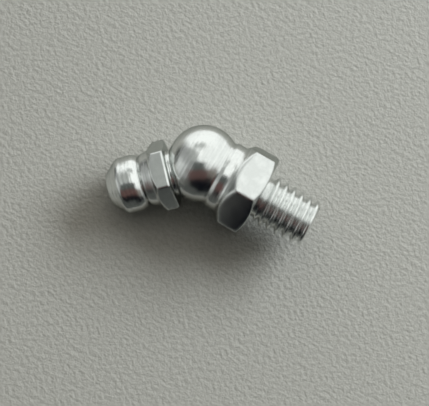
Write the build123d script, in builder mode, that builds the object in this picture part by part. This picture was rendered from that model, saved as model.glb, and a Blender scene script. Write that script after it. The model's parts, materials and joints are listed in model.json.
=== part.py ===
from build123d import *
from math import asin, atan, ceil, cos, degrees, pi, radians, sin, sqrt, tan
import os

# A 45 degree grease nipple with an M6 x 1 tapered thread, lying at rest on its side.
# Lengths are in millimetres and angles in degrees. +Z is up and +X runs along the thread's axis,
# out of its end. Heights on the elbow body are measured along that axis from the bend point, where
# it crosses the coupling head's axis, and grow towards the ball. Reaches on the coupling head are
# measured along the head's own axis from the same point, and grow towards its tip.

# Bend
bend_angle = 45.0

# Tapered thread
thread_pitch = 1.0
thread_diameter = 5.96          # over the crests, where they end at the relief
thread_taper = 1 / 16           # loss of diameter for each unit of length
thread_depth = 0.58
thread_length = 6.5             # from the spanner hexagon's face to the end
thread_end_chamfer = 0.35
thread_flank_angle = 30.0       # from a plane across the axis
thread_root_width = 0.18
thread_turn = 50.0              # of the groove where it runs out, about the axis, from the bend's plane
relief_width = 0.75
relief_depth = 0.63

# Spanner hexagon
hexagon_flats = 9.0
hexagon_face_height = -7.3
hexagon_face_diameter = 8.73
hexagon_face_chamfer = 30.0     # from the face
hexagon_cone_angle = 45.0       # from the axis, on the ball's side

# Collar, waist and ball
collar_diameter = 8.0
collar_cone_height = -3.45      # where the cone and the collar meet
collar_top_height = -2.35
collar_edge_round = 0.2
waist_height = -2.05            # where the ball's arc meets the slope down from the collar
waist_round = 0.3
ball_round = 3.95               # radius of the turned arc
ball_round_offset = 0.47        # of the arc's centre from the axis
ball_round_height = 0.2

# Tilted seat for the head, and the grease way
seat_face_reach = 3.2
shank_diameter = 4.4
shank_end_reach = 0.8
shank_end_chamfer = 0.2
seat_hole_bottom_gap = 0.1
outlet_bore_diameter = 2.6
outlet_bore_height = 0.8        # where its full width ends
drill_point_angle = 118.0

# Coupling head, in order from the seat face to the tip
shoulder_diameter = 5.2
shoulder_length = 0.55
head_hexagon_flats = 7.0
head_hexagon_length = 1.9
head_hexagon_start_chamfer = 0.14
head_hexagon_end_chamfer = 35.0  # from the face
head_hexagon_turn = 16.0         # of a corner, about the head's axis, from the bend's plane
boss_start_diameter = 6.6
boss_end_diameter = 5.95
boss_length = 1.1
neck_diameter = 5.1
neck_slope_length = 0.15        # down from the boss
neck_length = 0.1
rear_round = 1.75               # of the turned arc that swells from the neck to the band
rear_length = 1.1
band_diameter = 6.5
band_length = 1.38
band_edge_round = 0.6
nose_length = 1.52
tip_diameter = 3.7
tip_edge_round = 0.15

# Check valve in the head
check_ball_diameter = 2.5
check_ball_sink = 0.25          # of the closed ball below the tip
inlet_diameter = 1.6
inlet_countersink_diameter = 2.3
chamber_diameter = 2.8
valve_seat_angle = 45.0         # from the axis
staked_lip_thickness = 0.3
staked_lip_bore = 1.5
spring_wire = 0.25
spring_mean_diameter = 1.9
spring_turns = 7.5
touch_gap = 0.01                # between the valve's pieces where they touch

# ---- elbow body, worked out ----
thread_end_height = hexagon_face_height - thread_length
thread_radius = thread_diameter / 2
taper_slope = thread_taper / 2
thread_end_radius = thread_radius - taper_slope * (thread_length - relief_width)
flank_slope = tan(radians(thread_flank_angle))
relief_height = hexagon_face_height - relief_width
relief_radius = thread_radius - relief_depth

hexagon_corner = hexagon_flats / sqrt(3)
hexagon_face_radius = hexagon_face_diameter / 2
collar_radius = collar_diameter / 2
cone_rise = (hexagon_corner - collar_radius) / tan(radians(hexagon_cone_angle))
face_chamfer_rise = (hexagon_corner - hexagon_face_radius) * tan(radians(hexagon_face_chamfer))

waist_radius = ball_round_offset + sqrt(ball_round**2 - (waist_height - ball_round_height) ** 2)
ball_top_height = ball_round_height + ball_round
seat_hole_reach = shank_end_reach - seat_hole_bottom_gap
outlet_bore_radius = outlet_bore_diameter / 2
drill_point_rise = outlet_bore_radius / tan(radians(drill_point_angle / 2))

# the groove's cutter starts clear of the thread's end and runs out over the relief
groove_over = 0.05 * thread_pitch
groove_end_height = relief_height + relief_width / 2
groove_turns = ceil((groove_end_height - thread_end_height) / thread_pitch + 0.6)
groove_start_height = groove_end_height - groove_turns * thread_pitch

# ---- coupling head and its valve, worked out ----
head_hexagon_start = seat_face_reach + shoulder_length
head_hexagon_end = head_hexagon_start + head_hexagon_length
boss_end_reach = head_hexagon_end + boss_length
neck_start_reach = boss_end_reach + neck_slope_length
neck_end_reach = neck_start_reach + neck_length
band_start_reach = neck_end_reach + rear_length
band_end_reach = band_start_reach + band_length
tip_reach = band_end_reach + nose_length
neck_radius = neck_diameter / 2
band_radius = band_diameter / 2
rear_start_radius = band_radius - rear_round + sqrt(rear_round**2 - rear_length**2)
head_corner = head_hexagon_flats / sqrt(3)
head_end_rise = (head_corner - boss_start_diameter / 2) * tan(radians(head_hexagon_end_chamfer))
front_cone_angle = atan((band_diameter - tip_diameter) / 2 / (tip_reach - band_end_reach))

check_ball_radius = check_ball_diameter / 2
check_ball_reach = tip_reach - check_ball_sink - check_ball_radius
seat_slope = tan(radians(valve_seat_angle))
seat_ring_radius = (check_ball_radius + touch_gap) * cos(radians(valve_seat_angle))
seat_ring_reach = check_ball_reach + (check_ball_radius + touch_gap) * sin(radians(valve_seat_angle))
chamber_radius = chamber_diameter / 2
inlet_radius = inlet_diameter / 2
chamber_end_reach = seat_ring_reach - (chamber_radius - seat_ring_radius) / seat_slope
inlet_start_reach = seat_ring_reach + (seat_ring_radius - inlet_radius) / seat_slope
countersink_depth = (inlet_countersink_diameter - inlet_diameter) / 2
lip_reach = shank_end_reach + staked_lip_thickness

spring_radius = spring_mean_diameter / 2
coil_distance = check_ball_radius + spring_wire / 2 + touch_gap
spring_start_reach = lip_reach + spring_wire / 2 + touch_gap
spring_end_reach = check_ball_reach - sqrt(coil_distance**2 - spring_radius**2)
closed_pitch = spring_wire + touch_gap
open_pitch = (spring_end_reach - spring_start_reach - 2 * closed_pitch) / (spring_turns - 2)

# ---- how it rests ----
# Rounded edges on the head: the reach and radius of the round's centre, and the round itself.
head_rounds = [
    (
        band_end_reach - band_edge_round * tan(front_cone_angle / 2),
        band_radius - band_edge_round,
        band_edge_round,
    ),
    (
        tip_reach - tip_edge_round,
        tip_diameter / 2 - tip_edge_round * tan(pi / 4 - front_cone_angle / 2),
        tip_edge_round,
    ),
]


def head_extent(lean):
    """How far the head extends in a direction whose angle to the head's axis has the cosine lean."""
    return max(reach * lean + radius * sqrt(1 - lean**2) + edge for reach, radius, edge in head_rounds)


# It lies on one corner line of the spanner hexagon and on the head, rolled about the thread's axis
# until the two are level.
bend = radians(bend_angle)
least_roll, most_roll = 0.0, pi / 3
for _ in range(50):
    rest_roll = (least_roll + most_roll) / 2
    if hexagon_corner * cos(rest_roll) > head_extent(sin(bend) * sin(rest_roll)):
        least_roll = rest_roll
    else:
        most_roll = rest_roll

# The origin is the middle of the bounding box's bottom face.
bend_point = (
    (thread_end_height + head_extent(cos(bend))) / 2,
    (head_extent(sin(bend) * cos(rest_roll)) - hexagon_corner * cos(pi / 6 - rest_roll)) / 2,
    hexagon_corner * cos(rest_roll),
)
thread_frame = Plane(bend_point, x_dir=(0, cos(rest_roll), sin(rest_roll)), z_dir=(-1, 0, 0))
head_frame = Plane(thread_frame * Rotation(0, -bend_angle, 0))


def lengthwise(frame):
    """The plane through a frame's axis, with the radius along local X and the axis along local Y."""
    return Plane(frame.origin, x_dir=frame.x_dir, z_dir=-frame.y_dir)


def axis_of(frame):
    return Axis(frame.origin, frame.z_dir)


def corner_at(sketch, radius, height):
    return sketch.vertices().sort_by_distance((radius, height, 0))[0]


# ---- elbow body ----
with BuildPart() as elbow_body:
    with BuildSketch(lengthwise(thread_frame)) as blank:
        with BuildLine():
            Polyline(
                (0, thread_end_height),
                (thread_end_radius - thread_end_chamfer, thread_end_height),
                (thread_end_radius, thread_end_height + thread_end_chamfer),
                (thread_radius, relief_height),
                (relief_radius, relief_height + relief_depth * flank_slope),
                (relief_radius, hexagon_face_height),
                (hexagon_face_radius, hexagon_face_height),
                (hexagon_corner, hexagon_face_height + face_chamfer_rise),
                (hexagon_corner, collar_cone_height - cone_rise),
                (collar_radius, collar_cone_height),
                (collar_radius, collar_top_height),
                (waist_radius, waist_height),
            )
            RadiusArc(
                (waist_radius, waist_height), (ball_round_offset, ball_top_height), -ball_round
            )
            Polyline((ball_round_offset, ball_top_height), (0, ball_top_height), (0, thread_end_height))
        make_face()
        fillet(corner_at(blank, collar_radius, collar_top_height), radius=collar_edge_round)
        fillet(corner_at(blank, waist_radius, waist_height), radius=waist_round)
    revolve(axis=axis_of(thread_frame))

    # spanner flats, with a corner square to the bend's plane
    with BuildSketch(thread_frame.offset(hexagon_face_height)):
        Circle(hexagon_flats)
        RegularPolygon(hexagon_flats / 2, 6, major_radius=False, rotation=30, mode=Mode.SUBTRACT)
    extrude(amount=collar_cone_height - hexagon_face_height, mode=Mode.SUBTRACT)

    # tilted seat, and the hole that takes the head's shank
    with BuildSketch(head_frame.offset(seat_face_reach)):
        Circle(ball_round)
    extrude(amount=ball_round, mode=Mode.SUBTRACT)
    with BuildSketch(head_frame.offset(seat_hole_reach)):
        Circle(shank_diameter / 2)
    extrude(amount=seat_face_reach - seat_hole_reach, mode=Mode.SUBTRACT)

    # grease way, drilled up from the thread's end into the seat hole
    with BuildSketch(lengthwise(thread_frame)):
        with BuildLine():
            Polyline(
                (0, thread_end_height),
                (outlet_bore_radius, thread_end_height),
                (outlet_bore_radius, outlet_bore_height),
                (0, outlet_bore_height + drill_point_rise),
                close=True,
            )
        make_face()
    revolve(axis=axis_of(thread_frame), mode=Mode.SUBTRACT)

    # thread groove, cut a turn at a time
    for turn in range(groove_turns):
        turn_height = groove_start_height + turn * thread_pitch
        turn_frame = Plane(thread_frame.offset(turn_height) * Rotation(0, 0, thread_turn))
        with BuildLine() as groove:
            # a Helix always stands on the XY plane, so it is carried to the turn's own
            one_turn = Helix(
                pitch=thread_pitch,
                height=thread_pitch,
                radius=thread_radius + taper_slope * (turn_height - relief_height),
                cone_angle=degrees(atan(taper_slope)),
                mode=Mode.PRIVATE,
            )
            add(turn_frame.location * one_turn)
        with BuildSketch(Plane(groove.line @ 0, x_dir=turn_frame.x_dir, z_dir=groove.line % 0)):
            half_root = thread_root_width / 2
            half_mouth = half_root + (thread_depth + groove_over) * flank_slope
            Polygon(
                (groove_over, half_mouth),
                (-thread_depth, half_root),
                (-thread_depth, -half_root),
                (groove_over, -half_mouth),
                align=None,
            )
        sweep(path=groove.line, is_frenet=True, mode=Mode.SUBTRACT)

# ---- coupling head ----
with BuildPart() as coupling_head:
    with BuildSketch(lengthwise(head_frame)) as turned:
        with BuildLine():
            Polyline(
                (0, shank_end_reach),
                (shank_diameter / 2 - shank_end_chamfer, shank_end_reach),
                (shank_diameter / 2, shank_end_reach + shank_end_chamfer),
                (shank_diameter / 2, seat_face_reach),
                (shoulder_diameter / 2, seat_face_reach),
                (shoulder_diameter / 2, head_hexagon_start),
                (head_corner - head_hexagon_start_chamfer, head_hexagon_start),
                (head_corner, head_hexagon_start + head_hexagon_start_chamfer),
                (head_corner, head_hexagon_end - head_end_rise),
                (boss_start_diameter / 2, head_hexagon_end),
                (boss_end_diameter / 2, boss_end_reach),
                (neck_radius, neck_start_reach),
                (neck_radius, neck_end_reach),
                (rear_start_radius, neck_end_reach),
            )
            RadiusArc(
                (rear_start_radius, neck_end_reach), (band_radius, band_start_reach), -rear_round
            )
            Polyline(
                (band_radius, band_start_reach),
                (band_radius, band_end_reach),
                (tip_diameter / 2, tip_reach),
                (0, tip_reach),
                (0, shank_end_reach),
            )
        make_face()
        fillet(corner_at(turned, band_radius, band_end_reach), radius=band_edge_round)
        fillet(corner_at(turned, tip_diameter / 2, tip_reach), radius=tip_edge_round)
    revolve(axis=axis_of(head_frame))

    # spanner flats
    with BuildSketch(head_frame.offset(head_hexagon_start)):
        Circle(head_hexagon_flats)
        RegularPolygon(
            head_hexagon_flats / 2, 6, major_radius=False, rotation=head_hexagon_turn, mode=Mode.SUBTRACT
        )
    extrude(amount=head_hexagon_end - head_hexagon_start, mode=Mode.SUBTRACT)

    # inlet, valve seat, spring chamber and the staked lip behind it
    with BuildSketch(lengthwise(head_frame)):
        with BuildLine():
            Polyline(
                (0, shank_end_reach),
                (staked_lip_bore / 2, shank_end_reach),
                (staked_lip_bore / 2, lip_reach),
                (chamber_radius, lip_reach),
                (chamber_radius, chamber_end_reach),
                (inlet_radius, inlet_start_reach),
                (inlet_radius, tip_reach - countersink_depth),
                (inlet_countersink_diameter / 2, tip_reach),
                (0, tip_reach),
                close=True,
            )
        make_face()
    revolve(axis=axis_of(head_frame), mode=Mode.SUBTRACT)

# ---- check ball, closed ----
with BuildPart() as check_ball:
    with BuildSketch(lengthwise(head_frame.offset(check_ball_reach))):
        Circle(check_ball_radius)
        Rectangle(
            check_ball_radius, check_ball_diameter, align=(Align.MAX, Align.CENTER), mode=Mode.SUBTRACT
        )
    revolve(axis=axis_of(head_frame))

# ---- check spring, with a closed coil at each end and its wire kept to a few flats ----
wire_sides = 8
points_per_turn = 6
wire_points = []
for point in range(round(spring_turns * points_per_turn) + 1):
    turns = point / points_per_turn
    closed_turns = min(turns, 1) + max(turns - spring_turns + 1, 0)
    wire_points.append(
        (
            spring_radius * cos(2 * pi * turns),
            spring_radius * sin(2 * pi * turns),
            closed_turns * closed_pitch + (turns - closed_turns) * open_pitch,
        )
    )
with BuildPart() as check_spring:
    with BuildLine(head_frame.offset(spring_start_reach)) as wire:
        Spline(*wire_points)
    with BuildSketch(Plane(wire.line @ 0, x_dir=head_frame.z_dir, z_dir=wire.line % 0)):
        RegularPolygon(spring_wire / 2, wire_sides)
    sweep(path=wire.line)

elbow_body.part.label = "elbow_body"
coupling_head.part.label = "coupling_head"
check_ball.part.label = "check_ball"
check_spring.part.label = "check_spring"

os.makedirs("parts", exist_ok=True)
export_step(elbow_body.part, "parts/elbow_body.step")
export_step(coupling_head.part, "parts/coupling_head.step")
export_step(check_ball.part, "parts/check_ball.step")
export_step(check_spring.part, "parts/check_spring.step")
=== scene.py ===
"""Angled grease nipple in bright zinc plate, lying on a pale grained floor.

Laid out as an add-on: the settings hold the sizes and colours, and each piece has its own operator.
"""

import json
from math import cos, pi, radians, sin, sqrt

import bpy
from bpy.props import FloatProperty, FloatVectorProperty, PointerProperty
from mathutils import Euler, Matrix, Vector


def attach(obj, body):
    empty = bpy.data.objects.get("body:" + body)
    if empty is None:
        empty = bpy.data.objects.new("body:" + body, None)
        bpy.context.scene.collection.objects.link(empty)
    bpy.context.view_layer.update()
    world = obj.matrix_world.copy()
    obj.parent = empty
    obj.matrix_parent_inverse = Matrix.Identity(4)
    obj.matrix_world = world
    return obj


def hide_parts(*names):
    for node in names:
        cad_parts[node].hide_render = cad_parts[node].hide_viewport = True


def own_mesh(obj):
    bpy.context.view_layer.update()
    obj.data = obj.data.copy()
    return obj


bl_info = {
    "name": "Angled Grease Nipple",
    "version": (1, 0, 0),
    "blender": (4, 5, 0),
    "location": "3D View > Sidebar > Grease Nipple",
    "description": "Dresses a 45 degree grease nipple in bright zinc plate and sets a pale floor under it",
    "category": "Object",
}

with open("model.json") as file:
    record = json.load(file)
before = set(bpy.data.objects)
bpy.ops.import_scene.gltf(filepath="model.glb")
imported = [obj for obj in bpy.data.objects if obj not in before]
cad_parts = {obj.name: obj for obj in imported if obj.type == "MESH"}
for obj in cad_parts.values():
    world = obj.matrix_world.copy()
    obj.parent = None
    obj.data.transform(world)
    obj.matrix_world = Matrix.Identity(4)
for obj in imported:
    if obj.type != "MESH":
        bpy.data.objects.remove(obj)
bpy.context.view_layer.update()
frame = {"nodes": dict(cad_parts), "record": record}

MM = 0.001
mounts = {mount["name"]: mount for mount in frame["record"]["mounts"]}


# ---- where the two axes lie ----
def axis_frame(point, direction, towards):
    """Matrix of a frame at point whose Z runs along direction and whose X leans towards another way."""
    z = Vector(direction).normalized()
    y = z.cross(Vector(towards)).normalized()
    x = y.cross(z)
    turn = Matrix((x, y, z)).transposed().to_4x4()
    return Matrix.Translation(point) @ turn


def crossing(point_a, along_a, point_b, along_b):
    """The point of line a that is nearest to line b."""
    a, b = Vector(along_a).normalized(), Vector(along_b).normalized()
    gap = Vector(point_b) - Vector(point_a)
    lean = a.dot(b)
    return Vector(point_a) + a * ((gap.dot(a) - lean * gap.dot(b)) / (1 - lean**2))


BODY_FLATS = 8.98 * MM  # just under the distance across the flats, where turned faces end
HEAD_FLATS = 6.98 * MM  # and the same on the coupling head
THREAD_START = -7.2 * MM  # along the body, just inside the spanner hexagon's face
thread_mount, head_mount = mounts["thread"], mounts["coupling_head"]
bend_point = crossing(
    thread_mount["pos_m"], thread_mount["axis"], head_mount["pos_m"], head_mount["axis"]
)
thread_way, head_way = Vector(thread_mount["axis"]), Vector(head_mount["axis"])
body_frame = axis_frame(bend_point, -thread_way, -head_way)
head_frame = axis_frame(bend_point, head_way, -thread_way)


# ---- settings ----
class ZincSettings(bpy.types.PropertyGroup):
    """Bright zinc plate on the elbow body and the coupling head."""

    colour: FloatVectorProperty(
        name="Plate",
        description="Colour of the bright plate",
        subtype="COLOR",
        size=3,
        min=0,
        max=1,
        default=(0.87, 0.885, 0.875),
    )
    dull_colour: FloatVectorProperty(
        name="Dull plate",
        description="Colour where the plate has hazed over",
        subtype="COLOR",
        size=3,
        min=0,
        max=1,
        default=(0.74, 0.76, 0.75),
    )
    edge_tint: FloatVectorProperty(
        name="Glancing tint",
        description="Tint of the plate where it is seen at a glancing angle",
        subtype="COLOR",
        size=3,
        min=0,
        max=1,
        default=(0.5, 0.52, 0.5),
    )
    thread_tint: FloatVectorProperty(
        name="Thread tint",
        description="The same tint on the thread, whose flanks mirror each other",
        subtype="COLOR",
        size=3,
        min=0,
        max=1,
        default=(0.82, 0.83, 0.82),
    )
    roughness: FloatProperty(
        name="Roughness", description="Blur of the plate's reflections", min=0, max=1, default=0.2
    )
    turning_pitch: FloatProperty(
        name="Turning line pitch",
        description="Distance between the fine lines left by turning",
        unit="LENGTH",
        default=0.3 * MM,
    )
    turning_depth: FloatProperty(
        name="Turning line depth",
        description="Depth of the fine lines left by turning",
        unit="LENGTH",
        default=0.03 * MM,
    )
    edge_round: FloatProperty(
        name="Edge round",
        description="Radius that the body's edges catch the light with",
        unit="LENGTH",
        default=0.6 * MM,
    )
    head_edge_round: FloatProperty(
        name="Head edge round",
        description="Radius that the coupling head's edges catch the light with",
        unit="LENGTH",
        default=0.42 * MM,
    )


class ValveSettings(bpy.types.PropertyGroup):
    """Check ball and spring inside the coupling head."""

    ball_colour: FloatVectorProperty(
        name="Ball",
        description="Colour of the polished bearing steel",
        subtype="COLOR",
        size=3,
        min=0,
        max=1,
        default=(0.62, 0.62, 0.63),
    )
    spring_colour: FloatVectorProperty(
        name="Spring",
        description="Colour of the drawn spring wire",
        subtype="COLOR",
        size=3,
        min=0,
        max=1,
        default=(0.42, 0.41, 0.40),
    )
    wire_diameter: FloatProperty(
        name="Wire diameter", description="Thickness of the wire", unit="LENGTH", default=0.25 * MM
    )
    mean_diameter: FloatProperty(
        name="Mean coil diameter",
        description="Diameter of the coils through the wire's middle",
        unit="LENGTH",
        default=1.9 * MM,
    )
    coils: FloatProperty(name="Coils", description="Number of turns of the wire", default=7.5)


class StageSettings(bpy.types.PropertyGroup):
    """Floor, light and camera."""

    floor_colour: FloatVectorProperty(
        name="Floor",
        description="Colour of the grained floor",
        subtype="COLOR",
        size=3,
        min=0,
        max=1,
        default=(0.418, 0.442, 0.424),
    )
    grain_size: FloatProperty(
        name="Grain size", description="Size of the floor's grain", unit="LENGTH", default=0.5 * MM
    )
    fill_strength: FloatProperty(
        name="Fill light", description="Strength of the soft light from the window's side", default=0.285
    )
    key_power: FloatProperty(name="Key light", description="Power of the soft lamp, in watts", default=1.61)
    key_width: FloatProperty(
        name="Key light width", description="Width of the soft lamp", unit="LENGTH", default=0.34
    )
    key_height: FloatProperty(
        name="Key light height", description="Height of the soft lamp", unit="LENGTH", default=0.16
    )
    key_distance: FloatProperty(
        name="Key light distance",
        description="From the part to the soft lamp",
        unit="LENGTH",
        default=0.4,
    )
    focal_length: FloatProperty(
        name="Focal length", description="Of the camera, in millimetres", default=134.27
    )


# ---- materials ----
RIPPLE_SCALE = 900.0  # noise cells a metre
RIPPLE_HEIGHT = 0.3  # of the turning lines' height
PAINTED_STREAK_CONTRAST = 0.65  # how far the turning lines show in the plate's colour, as painted light and dark streaks that stand in for their uneven reflections
FLATS_DULLING = 0.12  # how far the milled flats are duller than turned faces
HAZE_SCALE = 420.0
CLEAR_BLUR, HAZY_BLUR = 0.8, 1.3  # of the plate's roughness
MOTTLE_SHADE = 0.8  # of the steel's colour
GRAIN_DEPTH = 0.165 * MM
GRAIN_SHADE, GRAIN_LIGHT = 0.92, 1.06  # of the floor's colour


def start_material(name):
    """A new node material; gives the material, its node tree and its Principled shader."""
    material = bpy.data.materials.new(name)
    material.use_nodes = True
    tree = material.node_tree
    return material, tree, tree.nodes["Principled BSDF"]


def put(tree, kind, **values):
    """Adds a node; values name its properties, or its inputs where they start with in_."""
    node = tree.nodes.new(kind)
    for name, value in values.items():
        if name.startswith("in_"):
            node.inputs[name[3:].replace("_", " ")].default_value = value
        else:
            setattr(node, name, value)
    return node


def place_in(tree, axes):
    """The surface point in the coordinates of a frame, in metres."""
    into = axes.inverted()
    where = put(tree, "ShaderNodeTexCoord")
    mapping = put(
        tree,
        "ShaderNodeMapping",
        vector_type="POINT",
        in_Location=into.translation,
        in_Rotation=into.to_euler(),
    )
    tree.links.new(where.outputs["Object"], mapping.inputs["Vector"])
    return mapping.outputs["Vector"]


def calc(tree, operation, first, second=None, third=None):
    """A math node; each operand is a socket or a number."""
    node = put(tree, "ShaderNodeMath", operation=operation)
    for socket, value in zip(node.inputs, (first, second, third)):
        if value is None:
            continue
        if isinstance(value, (int, float)):
            socket.default_value = value
        else:
            tree.links.new(value, socket)
    return node.outputs[0]


def two_tone(tree, factor, low, high, start=0.0, end=1.0):
    """Colour that goes from low to high while the factor goes from start to end."""
    tone = put(tree, "ShaderNodeValToRGB")
    first, last = tone.color_ramp.elements
    first.position, last.position = start, end
    first.color, last.color = (*low, 1), (*high, 1)
    tree.links.new(factor, tone.inputs[0])
    return tone.outputs[0]


def shaded(colour, share):
    """A colour made darker or lighter."""
    return tuple(share * part for part in colour)


def zinc_plate(name, axes, flats_radius, edge_round, settings):
    """Bright zinc plate: lines turned round an axis as far out as the flats, also painted into the colour as
    light and dark reflection streaks, and a faint haze in patches.
    """
    material, tree, shader = start_material(name)
    link = tree.links.new
    place = place_in(tree, axes)
    split = put(tree, "ShaderNodeSeparateXYZ")
    link(place, split.inputs[0])
    across, aside, along = split.outputs
    squares = [calc(tree, "MULTIPLY", side, side) for side in (across, aside)]
    radius = calc(tree, "SQRT", calc(tree, "ADD", *squares))
    above_thread = calc(tree, "GREATER_THAN", along, THREAD_START)
    milled = calc(tree, "GREATER_THAN", radius, flats_radius)
    turned = calc(tree, "MULTIPLY", calc(tree, "SUBTRACT", 1.0, milled), above_thread)

    meridian = put(tree, "ShaderNodeCombineXYZ")
    link(radius, meridian.inputs["X"])
    link(along, meridian.inputs["Y"])
    lines = put(
        tree, "ShaderNodeTexNoise", in_Scale=1 / settings.turning_pitch, in_Detail=2.0, in_Roughness=0.5
    )
    link(meridian.outputs[0], lines.inputs["Vector"])
    ripple = put(tree, "ShaderNodeTexNoise", in_Scale=RIPPLE_SCALE, in_Detail=2.0)
    link(place, ripple.inputs["Vector"])
    dents = calc(tree, "MULTIPLY", calc(tree, "MULTIPLY", ripple.outputs[0], RIPPLE_HEIGHT), above_thread)
    soft_edges = put(tree, "ShaderNodeBevel", samples=8, in_Radius=edge_round)
    bump = put(tree, "ShaderNodeBump", in_Strength=1.0, in_Distance=settings.turning_depth)
    link(soft_edges.outputs[0], bump.inputs["Normal"])
    link(calc(tree, "MULTIPLY_ADD", lines.outputs[0], turned, dents), bump.inputs["Height"])
    link(bump.outputs["Normal"], shader.inputs["Normal"])

    haze = put(tree, "ShaderNodeTexNoise", in_Scale=HAZE_SCALE, in_Detail=4.0, in_Roughness=0.65)
    link(place, haze.inputs["Vector"])
    # Painted reflection: the turning lines lighten and darken the plate's colour, as their uneven reflections
    # would.
    painted_streaks = calc(tree, "MULTIPLY", calc(tree, "SUBTRACT", lines.outputs[0], 0.5), turned)
    brightness = calc(tree, "MULTIPLY_ADD", painted_streaks, PAINTED_STREAK_CONTRAST, haze.outputs[0])
    brightness = calc(tree, "MULTIPLY_ADD", milled, -FLATS_DULLING, brightness)
    tint = two_tone(tree, brightness, settings.dull_colour, settings.colour, start=0.32, end=0.58)
    link(tint, shader.inputs["Base Color"])
    glance = two_tone(tree, above_thread, settings.thread_tint, settings.edge_tint)
    link(glance, shader.inputs["Specular Tint"])
    blur = put(
        tree,
        "ShaderNodeMapRange",
        in_From_Min=0.3,
        in_From_Max=0.7,
        in_To_Min=settings.roughness * HAZY_BLUR,
        in_To_Max=settings.roughness * CLEAR_BLUR,
    )
    link(haze.outputs[0], blur.inputs["Value"])
    link(blur.outputs[0], shader.inputs["Roughness"])
    shader.inputs["Metallic"].default_value = 1.0
    return material


def plain_steel(name, colour, roughness, scale):
    """Bare steel with a faint mottling, scale cells a metre."""
    material, tree, shader = start_material(name)
    link = tree.links.new
    where = put(tree, "ShaderNodeTexCoord")
    mottle = put(tree, "ShaderNodeTexNoise", in_Scale=scale, in_Detail=3.0)
    link(where.outputs["Object"], mottle.inputs["Vector"])
    tint = two_tone(tree, mottle.outputs[0], shaded(colour, MOTTLE_SHADE), colour, start=0.35, end=0.6)
    link(tint, shader.inputs["Base Color"])
    shader.inputs["Roughness"].default_value = roughness
    shader.inputs["Metallic"].default_value = 1.0
    return material


def grained_floor(settings):
    """Matt floor covering with a fine grain."""
    material, tree, shader = start_material("grained_floor")
    link = tree.links.new
    where = put(tree, "ShaderNodeTexCoord")
    grain = put(
        tree, "ShaderNodeTexNoise", in_Scale=1 / settings.grain_size, in_Detail=3.0, in_Roughness=0.55
    )
    link(where.outputs["Object"], grain.inputs["Vector"])
    bump = put(tree, "ShaderNodeBump", in_Strength=1.0, in_Distance=GRAIN_DEPTH)
    link(grain.outputs[0], bump.inputs["Height"])
    link(bump.outputs["Normal"], shader.inputs["Normal"])
    dark, light = (shaded(settings.floor_colour, share) for share in (GRAIN_SHADE, GRAIN_LIGHT))
    tint = two_tone(tree, grain.outputs[0], dark, light, start=0.3, end=0.7)
    link(tint, shader.inputs["Base Color"])
    shader.inputs["Roughness"].default_value = 0.75
    shader.inputs["Specular IOR Level"].default_value = 0.1
    return material


def cover(piece, material):
    """The piece wears one material."""
    piece.data.materials.clear()
    piece.data.materials.append(material)


def mesh_piece(name, points, faces):
    """A new smooth mesh object from points and faces."""
    mesh = bpy.data.meshes.new(name)
    mesh.from_pydata(points, [], faces)
    mesh.polygons.foreach_set("use_smooth", [True] * len(mesh.polygons))
    mesh.update()
    piece = bpy.data.objects.new(name, mesh)
    bpy.context.scene.collection.objects.link(piece)
    return piece


# ---- pieces ----
STEPS_PER_COIL = 28
WIRE_SIDES = 14


def coil_line(radius, start, end, coils, closed_pitch):
    """Points along a coil about local Z, with one closed turn at each end."""
    open_pitch = (end - start - 2 * closed_pitch) / (coils - 2)
    points = []
    for step in range(round(coils * STEPS_PER_COIL) + 1):
        turns = step / STEPS_PER_COIL
        closed = min(turns, 1) + max(turns - coils + 1, 0)
        rise = start + closed * closed_pitch + (turns - closed) * open_pitch
        points.append(Vector((radius * cos(2 * pi * turns), radius * sin(2 * pi * turns), rise)))
    return points


def tube(line, radius, upright):
    """Points and faces of a round tube along a line that winds about upright, closed at its ends."""
    points, faces = [], []
    for step, middle in enumerate(line):
        ahead = line[min(step + 1, len(line) - 1)] - line[max(step - 1, 0)]
        outward = ahead.cross(upright).normalized()
        rise = outward.cross(ahead).normalized()
        for side in range(WIRE_SIDES):
            angle = 2 * pi * side / WIRE_SIDES
            points.append(middle + (outward * cos(angle) + rise * sin(angle)) * radius)
    for ring in range(0, len(points) - WIRE_SIDES, WIRE_SIDES):
        for side in range(WIRE_SIDES):
            corner, beside = ring + side, ring + (side + 1) % WIRE_SIDES
            faces.append((corner, beside, beside + WIRE_SIDES, corner + WIRE_SIDES))
    faces.append(tuple(reversed(range(WIRE_SIDES))))
    faces.append(tuple(range(len(points) - WIRE_SIDES, len(points))))
    return points, faces


class NIPPLE_OT_plate_elbow(bpy.types.Operator):
    """Give the elbow body its zinc plate"""

    bl_idname = "nipple.plate_elbow"
    bl_label = "Elbow Body"

    def execute(self, context):
        elbow = frame["nodes"]["elbow_body"]
        zinc = context.scene.nipple_zinc
        cover(elbow, zinc_plate("zinc_plate_body", body_frame, BODY_FLATS / 2, zinc.edge_round, zinc))
        return {"FINISHED"}


class NIPPLE_OT_plate_head(bpy.types.Operator):
    """Give the coupling head its zinc plate"""

    bl_idname = "nipple.plate_head"
    bl_label = "Coupling Head"

    def execute(self, context):
        head = frame["nodes"]["coupling_head"]
        zinc = context.scene.nipple_zinc
        cover(head, zinc_plate("zinc_plate_head", head_frame, HEAD_FLATS / 2, zinc.head_edge_round, zinc))
        return {"FINISHED"}


class NIPPLE_OT_polish_ball(bpy.types.Operator):
    """Polish the check ball"""

    bl_idname = "nipple.polish_ball"
    bl_label = "Check Ball"

    def execute(self, context):
        ball = frame["nodes"]["check_ball"]
        colour = context.scene.nipple_valve.ball_colour
        cover(ball, plain_steel("bearing_steel", colour, roughness=0.12, scale=900))
        return {"FINISHED"}


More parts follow.
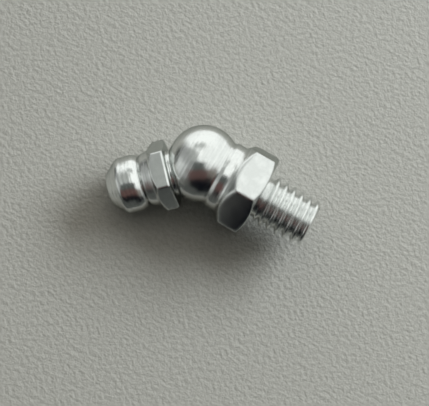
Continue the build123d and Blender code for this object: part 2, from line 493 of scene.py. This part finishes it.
class NIPPLE_OT_wind_spring(bpy.types.Operator):
    """Wind the check spring between the staked lip and the ball"""

    bl_idname = "nipple.wind_spring"
    bl_label = "Check Spring"

    def execute(self, context):
        settings = context.scene.nipple_valve
        wire = settings.wire_diameter / 2
        into_head = head_frame.inverted()
        reaches = [(into_head @ vertex.co).z for vertex in frame["nodes"]["check_spring"].data.vertices]
        start, end = min(reaches), max(reaches)
        points = coil_line(
            settings.mean_diameter / 2, start + wire, end - wire, settings.coils, settings.wire_diameter
        )
        spring = mesh_piece("wound_spring", *tube([head_frame @ point for point in points], wire, head_way))
        cover(spring, plain_steel("spring_wire", settings.spring_colour, roughness=0.3, scale=3000))
        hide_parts("check_spring")
        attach(spring, "nipple")
        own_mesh(spring)
        return {"FINISHED"}


# ---- stage ----
# The places of camera and lamp are along the frame's own axes.
CAMERA_PLACE = (4.014, -22.418, 183.117)  # mm
CAMERA_TURN = (6.385, -2.464, 29.501)  # degrees, about X, then Y, then Z
KEY_WAY = (0.42, 0.79, 0.55)
FLOOR_REACH = 300 * MM  # from its middle to each side

# Every other way is as seen: to the right, up and towards the lens.
camera_turn = Euler([radians(angle) for angle in CAMERA_TURN]).to_matrix()
SEEN_RIGHT, SEEN_UP, SEEN_BACK = (camera_turn @ Vector(axis) for axis in ((1, 0, 0), (0, 1, 0), (0, 0, 1)))

# Brightness along a way, in stops: how far a direction leans there, from 0, away, to 1, along, and how
# bright it is. The fill light comes from the window's side only.
FILL_WAY = (0.2, 0.8, 0.55)
FILL_SPREAD = ((0.65, 0.0), (1.0, 4.0))
FILL_COLOUR = (1.0, 0.91, 0.805)

# The room as the plate mirrors it: from the dark side to the window's side, and how much of that is left
# from below the part to above it.
WINDOW_WAY = (0.88, 0.48, 0.0)
ROOM_ACROSS = (
    (0.0, 0.78),
    (0.08, 0.74),
    (0.14, 0.52),
    (0.2, 0.36),
    (0.28, 0.3),
    (0.35, 0.33),
    (0.41, 0.68),
    (0.47, 1.07),
)
RISE_WAY = (0.0, 1.0, 0.0)
ROOM_UP = ((0.0, 0.2), (0.25, 0.42), (0.42, 0.8), (0.5, 1.0), (1.0, 1.0))
ROOM_COLOUR = (0.965, 1.0, 0.97)
BACKDROP_STRENGTH = 0.8  # of the floor's colour, past its edge

# Cards stand for what else the plate mirrors, and only reflections see them.
CLOTHS = {
    "grey": (0.3, 0.325, 0.305),
    "wall": (0.35, 0.37, 0.35),
    "green_black": (0.075, 0.085, 0.08),
    "brown": (0.1, 0.058, 0.053),
    "black": (0.004, 0.005, 0.007),
    "dim": (0.1, 0.1, 0.092),
    "tan": (0.18, 0.16, 0.14),
    "dark": (0.07, 0.075, 0.07),
    "white": (1.03, 1.06, 1.03),
}
# Name, cloth, rows of height, left side and right side in degrees, rim in degrees, distance in mm.
FAR_CARDS = (
    ("card_smudge", "grey", ((66, -34, 18), (40, -34, 16)), 12, 340),
    ("card_wall", "wall", ((52, -50, -22), (36, -48, -8), (20, -42, -10), (2, -42, -6)), 8, 330),
    ("card_top", "green_black", ((5, -30, 13), (-20, -30, 13)), 2, 300),
    ("card_middle", "brown", ((-17, -46, 20), (-50, -44, 28)), 2, 310),
    ("card_low", "black", ((-45, -38, 34), (-98, -38, 34)), 3, 300),
    ("card_corner", "dim", ((-40, -72, 64), (-98, -66, 54)), 6, 320),
    ("card_right", "tan", ((-16, 14, 56), (-51, 14, 52)), 5, 330),
)
# Name, cloth, line of the foot on the floor in mm, height in mm.
NEAR_CARDS = (
    (
        "card_front",
        "dark",
        ((-34, -6), (-26, -9), (-12, -12), (0, -14), (10, -14), (20, -16), (28, -20)),
        5.5,
    ),
    ("card_sill", "black", ((-6.8, -14.8), (-4.8, -15.1), (3, -15.5), (10, -15.5), (18, -17)), 14),
    ("card_step", "dark", ((-24, -11), (-12, -13.5), (-7, -14.7), (-5, -15)), 9.5),
    ("card_left", "dark", ((-46, 2), (-46, 10), (-41, 16), (-34, 21), (-26, 26)), 13),
    ("card_back", "white", ((-24, 26), (-16, 27), (0, 29), (14, 25), (28, 15), (40, 2), (46, -6)), 9),
)
CARD_STEPS = 12  # across a far card, so that it curves round the part
NEAR_RIM = 0.2  # of a near card's height


def card_cloth(name, colour):
    """Cloth of a card, with an even brightness of its own."""
    material = bpy.data.materials.new(name)
    material.use_nodes = True
    tree = material.node_tree
    tree.nodes.clear()
    glow = put(tree, "ShaderNodeEmission", in_Color=(*colour, 1), in_Strength=1.0)
    clear = put(tree, "ShaderNodeBsdfTransparent")
    thickness = put(tree, "ShaderNodeAttribute", attribute_name="thickness")
    blend = put(tree, "ShaderNodeMixShader")
    out = put(tree, "ShaderNodeOutputMaterial")
    tree.links.new(thickness.outputs["Fac"], blend.inputs[0])
    tree.links.new(clear.outputs[0], blend.inputs[1])
    tree.links.new(glow.outputs[0], blend.inputs[2])
    tree.links.new(blend.outputs[0], out.inputs["Surface"])
    return material


def card(name, rows, material):
    """A card that only reflections see, from rows of points. It thins out towards its border."""
    width = len(rows[0])
    points = [point for row in rows for point in row]
    faces = [
        (corner, corner + 1, corner + width + 1, corner + width)
        for row in range(len(rows) - 1)
        for corner in range(row * width, row * width + width - 1)
    ]
    piece = mesh_piece(name, points, faces)
    cover(piece, material)
    inside = [
        float(0 < row < len(rows) - 1 and 0 < column < width - 1)
        for row in range(len(rows))
        for column in range(width)
    ]
    piece.data.attributes.new("thickness", "FLOAT", "POINT").data.foreach_set("value", inside)
    piece.visible_camera = piece.visible_diffuse = piece.visible_shadow = False


def seen_at(across, up):
    """The way out of the part that lies this many degrees right of the lens, and this many above it."""
    lean = sqrt(across**2 + up**2) or 1.0
    side = sin(radians(lean)) / lean
    return SEEN_RIGHT * across * side + SEEN_UP * up * side + SEEN_BACK * cos(radians(lean))


def far_card(name, material, rows, rim, distance):
    """A curved card away from the part, with a thin rim round it."""
    (top, *top_sides), (bottom, *bottom_sides) = rows[0], rows[-1]
    under_top, over_bottom = (top - rim, *top_sides), (bottom + rim, *bottom_sides)
    grid = []
    for height, left, right in (rows[0], under_top, *rows[1:-1], over_bottom, rows[-1]):
        inner_width = right - left - 2 * rim
        inner = [left + rim + inner_width * step / CARD_STEPS for step in range(CARD_STEPS + 1)]
        grid.append([seen_at(across, height) * distance * MM for across in (left, *inner, right)])
    card(name, grid, material)


def near_card(name, material, foot, height):
    """An upright card close to the part, with a thin rim below and above."""
    across = Vector((SEEN_RIGHT.x, SEEN_RIGHT.y, 0)).normalized()
    away = Vector((-across.y, across.x, 0))
    line = [(across * x + away * y) * MM for x, y in foot]
    rim = NEAR_RIM * height
    rows = [[point + Vector((0, 0, rise * MM)) for point in line] for rise in (-rim, 0, height - rim, height)]
    card(name, rows, material)


def ramp_along(tree, direction, seen_way, stops):
    """Brightness by how far a direction leans towards a way as seen."""
    right, up, back = seen_way
    facing = put(tree, "ShaderNodeVectorMath", operation="DOT_PRODUCT")
    tree.links.new(direction, facing.inputs[0])
    facing.inputs[1].default_value = (SEEN_RIGHT * right + SEEN_UP * up + SEEN_BACK * back).normalized()
    spread = put(tree, "ShaderNodeValToRGB")
    while len(spread.color_ramp.elements) < len(stops):
        spread.color_ramp.elements.new(0.5)
    for element, (position, brightness) in zip(spread.color_ramp.elements, stops):
        element.position = position
        element.color = (brightness, brightness, brightness, 1)
    tree.links.new(calc(tree, "MULTIPLY_ADD", facing.outputs["Value"], 0.5, 0.5), spread.inputs[0])
    return spread.outputs[0]


def soft_room(settings):
    """Soft fill light from the window's side; the plate mirrors a room that is bright on that side."""
    world = bpy.data.worlds.new("room")
    world.use_nodes = True
    tree = world.node_tree
    link = tree.links.new
    where = put(tree, "ShaderNodeTexCoord").outputs["Generated"]

    fill = tree.nodes["Background"]
    fill.inputs["Color"].default_value = (*FILL_COLOUR, 1)
    from_window = ramp_along(tree, where, FILL_WAY, FILL_SPREAD)
    link(calc(tree, "MULTIPLY", from_window, settings.fill_strength), fill.inputs["Strength"])

    mirrored = put(tree, "ShaderNodeBackground", in_Color=(*ROOM_COLOUR, 1))
    across = ramp_along(tree, where, WINDOW_WAY, ROOM_ACROSS)
    rise = ramp_along(tree, where, RISE_WAY, ROOM_UP)
    link(calc(tree, "MULTIPLY", across, rise), mirrored.inputs["Strength"])

    backdrop = put(
        tree, "ShaderNodeBackground", in_Color=(*settings.floor_colour, 1), in_Strength=BACKDROP_STRENGTH
    )
    rays = put(tree, "ShaderNodeLightPath")
    lit = fill
    for ray, background in (("Is Glossy Ray", mirrored), ("Is Camera Ray", backdrop)):
        either = put(tree, "ShaderNodeMixShader")
        link(rays.outputs[ray], either.inputs[0])
        link(lit.outputs[0], either.inputs[1])
        link(background.outputs[0], either.inputs[2])
        lit = either
    link(lit.outputs[0], tree.nodes["World Output"].inputs["Surface"])
    return world


def key_light(settings):
    """Soft lamp on the window's side, which casts the shadow."""
    data = bpy.data.lights.new("key_light", "AREA")
    data.shape = "ELLIPSE"
    data.size, data.size_y = settings.key_width, settings.key_height
    data.energy = settings.key_power
    lamp = bpy.data.objects.new("key_light", data)
    way = Vector(KEY_WAY).normalized()
    lamp.location = way * settings.key_distance
    lamp.rotation_euler = way.to_track_quat("Z", "Y").to_euler()
    lamp.visible_camera = lamp.visible_glossy = False
    bpy.context.scene.collection.objects.link(lamp)


def camera_above(settings):
    """Camera that looks down on the part."""
    data = bpy.data.cameras.new("camera")
    data.lens = settings.focal_length
    data.sensor_width = 36.0
    data.clip_start, data.clip_end = 0.01, 10.0
    camera = bpy.data.objects.new("camera", data)
    camera.location = Vector(CAMERA_PLACE) * MM
    camera.rotation_euler = camera_turn.to_euler()
    bpy.context.scene.collection.objects.link(camera)
    return camera


class NIPPLE_OT_set_stage(bpy.types.Operator):
    """Lay the floor and set the light and the camera"""

    bl_idname = "nipple.set_stage"
    bl_label = "Stage"

    def execute(self, context):
        scene = context.scene
        settings = scene.nipple_stage
        corners = [(x * FLOOR_REACH, y * FLOOR_REACH, 0) for x, y in ((-1, -1), (1, -1), (1, 1), (-1, 1))]
        floor = mesh_piece("floor", corners, [(0, 1, 2, 3)])
        cover(floor, grained_floor(settings))

        scene.camera = camera_above(settings)
        scene.world = soft_room(settings)
        key_light(settings)
        cloths = {name: card_cloth(name, colour) for name, colour in CLOTHS.items()}
        for name, cloth, rows, rim, distance in FAR_CARDS:
            far_card(name, cloths[cloth], rows, rim, distance)
        for name, cloth, foot, height in NEAR_CARDS:
            near_card(name, cloths[cloth], foot, height)
        scene.view_settings.view_transform = "Standard"
        return {"FINISHED"}


# ---- sidebar ----
class NIPPLE_PT_sidebar(bpy.types.Panel):
    """Settings and pieces of the grease nipple"""

    bl_idname = "NIPPLE_PT_sidebar"
    bl_label = "Grease Nipple"
    bl_space_type = "VIEW_3D"
    bl_region_type = "UI"
    bl_category = "Grease Nipple"

    def draw(self, context):
        scene = context.scene
        for settings in (scene.nipple_zinc, scene.nipple_valve, scene.nipple_stage):
            box = self.layout.box()
            for name in settings.__annotations__:
                box.prop(settings, name)
        for operator in PIECES:
            self.layout.operator(operator.bl_idname)


SETTINGS = {
    "nipple_zinc": ZincSettings,
    "nipple_valve": ValveSettings,
    "nipple_stage": StageSettings,
}
PIECES = (
    NIPPLE_OT_plate_elbow,
    NIPPLE_OT_plate_head,
    NIPPLE_OT_polish_ball,
    NIPPLE_OT_wind_spring,
    NIPPLE_OT_set_stage,
)
CLASSES = (*SETTINGS.values(), *PIECES, NIPPLE_PT_sidebar)


def register():
    for cls in CLASSES:
        bpy.utils.register_class(cls)
    for name, group in SETTINGS.items():
        setattr(bpy.types.Scene, name, PointerProperty(type=group))


def unregister():
    for name in SETTINGS:
        delattr(bpy.types.Scene, name)
    for cls in reversed(CLASSES):
        bpy.utils.unregister_class(cls)


def main():
    register()
    bpy.ops.nipple.plate_elbow()
    bpy.ops.nipple.plate_head()
    bpy.ops.nipple.polish_ball()
    bpy.ops.nipple.wind_spring()
    bpy.ops.nipple.set_stage()


if __name__ == "__main__":
    main()
